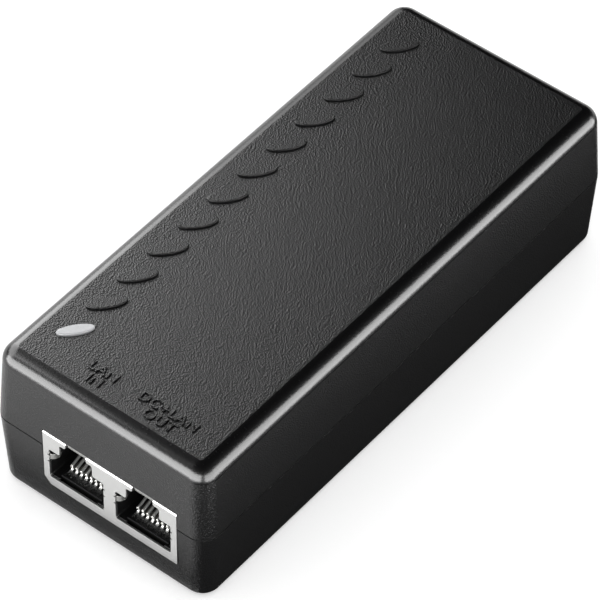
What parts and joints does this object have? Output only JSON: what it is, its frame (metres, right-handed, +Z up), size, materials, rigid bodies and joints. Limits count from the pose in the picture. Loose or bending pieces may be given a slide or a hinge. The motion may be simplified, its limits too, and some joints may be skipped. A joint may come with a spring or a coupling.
{
  "type": "poe injector",
  "caption": "Mains-powered injector that adds power to a network cable: two-shell plastic case, shielded two-port jack, indicator lens, rear mains inlet and full inner electronics.",
  "frame": {"origin": "middle of the base, on the surface it stands on", "axes": "+Z up, length along Y, jack faces -Y, mains inlet faces +Y, oval pads along the -X edge"},
  "size_m": [0.0448, 0.107, 0.0308],
  "materials": {
    "case_plastic": "black ABS, moulded with a fine spark texture",
    "jack_plastic": "black glass-filled nylon, smooth moulded",
    "lens_plastic": "milky polycarbonate light pipe, satin",
    "tinned_steel": "tin-plated sheet, satin",
    "contact_metal": "phosphor bronze, gold flashed",
    "blade_metal": "nickel-plated brass, bright",
    "screw_steel": "zinc-plated steel",
    "board_laminate": "green solder mask on glass-epoxy laminate",
    "film_sheet": "insulating polyester film, satin",
    "led_body": "white moulded LED package",
    "fuse_body": "brown moulded fuse body",
    "thermistor_body": "dark green dipped disc",
    "film_capacitor": "yellow moulded case",
    "ferrite": "dark grey sintered ferrite",
    "copper_wire": "enamelled copper",
    "black_epoxy": "black moulded epoxy",
    "capacitor_sleeve": "dark blue shrink sleeve",
    "aluminium": "bare sheet aluminium",
    "winding_tape": "yellow polyester tape",
    "disc_capacitor": "blue dipped ceramic disc"
  },
  "bodies": {
    "root": {"top_shell": "case_plastic", "bottom_shell": "case_plastic", "case_screw_1": "screw_steel", "case_screw_2": "screw_steel", "case_screw_3": "screw_steel", "case_screw_4": "screw_steel", "primary_heatsink_screw": "screw_steel", "secondary_heatsink_screw": "screw_steel", "main_board": "board_laminate", "insulation_sheet": "film_sheet", "led": "led_body", "light_pipe": "lens_plastic", "jack_shield": "tinned_steel", "jack_housing": "jack_plastic", "inlet_body": "jack_plastic", "left_contact_insert": "contact_metal", "right_contact_insert": "contact_metal", "inlet_blade_line": "blade_metal", "inlet_blade_neutral": "blade_metal", "inlet_blade_earth": "blade_metal", "fuse": "fuse_body", "thermistor": "thermistor_body", "x_capacitor": "film_capacitor", "choke_core": "ferrite", "transformer_core": "ferrite", "output_inductor": "ferrite", "choke_winding_line": "copper_wire", "choke_winding_neutral": "copper_wire", "bridge_rectifier": "black_epoxy", "switching_transistor": "black_epoxy", "output_rectifier": "black_epoxy", "transformer_bobbin": "black_epoxy", "pwm_controller": "black_epoxy", "optocoupler": "black_epoxy", "lan_transformer": "black_epoxy", "poe_controller": "black_epoxy", "bulk_capacitor": "capacitor_sleeve", "output_capacitor_1": "capacitor_sleeve", "output_capacitor_2": "capacitor_sleeve", "primary_heatsink": "aluminium", "secondary_heatsink": "aluminium", "transformer_winding": "winding_tape", "y_capacitor": "disc_capacitor"},
    "left_contacts": {"left_contact_1": "contact_metal", "left_contact_2": "contact_metal", "left_contact_3": "contact_metal", "left_contact_4": "contact_metal", "left_contact_5": "contact_metal", "left_contact_6": "contact_metal", "left_contact_7": "contact_metal", "left_contact_8": "contact_metal"},
    "right_contacts": {"right_contact_1": "contact_metal", "right_contact_2": "contact_metal", "right_contact_3": "contact_metal", "right_contact_4": "contact_metal", "right_contact_5": "contact_metal", "right_contact_6": "contact_metal", "right_contact_7": "contact_metal", "right_contact_8": "contact_metal"}
  },
  "joints": [
    {"name": "left_contact_press", "type": "hinge", "parent": "root", "child": "left_contacts", "pos_m": [-0.00453, -0.05075, 0.0089], "axis": [-1, 0, 0], "range_deg": [0, 12], "stiffness_Nm_per_rad": 0.24},
    {"name": "right_contact_press", "type": "hinge", "parent": "root", "child": "right_contacts", "pos_m": [0.00944, -0.05075, 0.0089], "axis": [-1, 0, 0], "range_deg": [0, 12], "stiffness_Nm_per_rad": 0.24}
  ]
}
